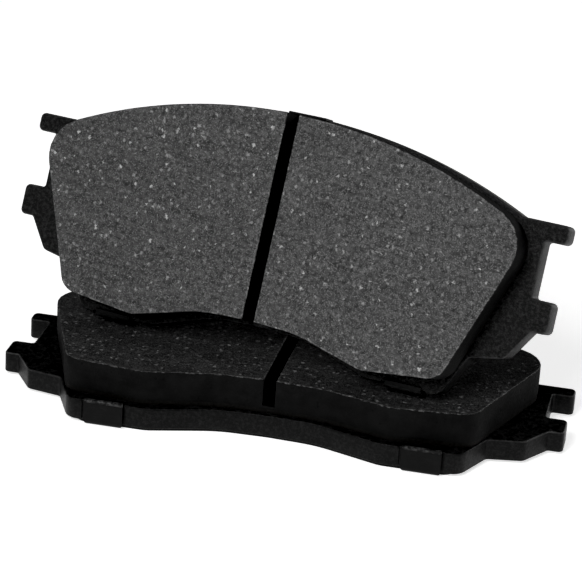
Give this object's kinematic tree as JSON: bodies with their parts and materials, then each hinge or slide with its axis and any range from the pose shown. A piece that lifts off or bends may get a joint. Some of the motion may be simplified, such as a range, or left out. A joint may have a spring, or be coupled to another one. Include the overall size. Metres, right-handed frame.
{
  "type": "brake pad",
  "caption": "Disc brake pads stacked as a set: notched steel backing plate, slotted friction lining and tabbed shim on each, with the upper pad stood on the lower one.",
  "frame": {"origin": "centre of the lower pad's back (the shim's outer face), on its centre line and level with the middle of its ear notches", "axes": "+X along the lower pad's length, +Y towards its convex edge, +Z from its shim towards its friction face, up when it lies on its back"},
  "size_m": [0.1425, 0.0592, 0.0741],
  "materials": {
    "plate_coat": "black powder coat, satin, fine orange-peel grain",
    "underlayer": "dense dark bonding layer, matt",
    "lining": "charcoal friction composite, dry and matt, with pale fibres and metallic specks",
    "adhesive": "pressure-sensitive film",
    "shim_rubber": "thin nitrile coat, matt",
    "shim_steel": "black coated steel sheet, worn brighter on its folds"
  },
  "bodies": {
    "lower_pad": {"lower_backing_plate": "plate_coat", "lower_underlayer": "underlayer", "lower_friction_lining": "lining", "lower_shim_adhesive": "adhesive", "lower_shim_inner_rubber": "shim_rubber", "lower_shim_core": "shim_steel", "lower_shim_outer_rubber": "shim_rubber"},
    "upper_pad": {"upper_backing_plate": "plate_coat", "upper_underlayer": "underlayer", "upper_friction_lining": "lining", "upper_shim_adhesive": "adhesive", "upper_shim_inner_rubber": "shim_rubber", "upper_shim_core": "shim_steel", "upper_shim_outer_rubber": "shim_rubber"}
  },
  "joints": [
    {"name": "upper_pad_lift", "type": "slide", "parent": "lower_pad", "child": "upper_pad", "axis": [0, 0, 1], "range_m": [0, 0.08]}
  ]
}
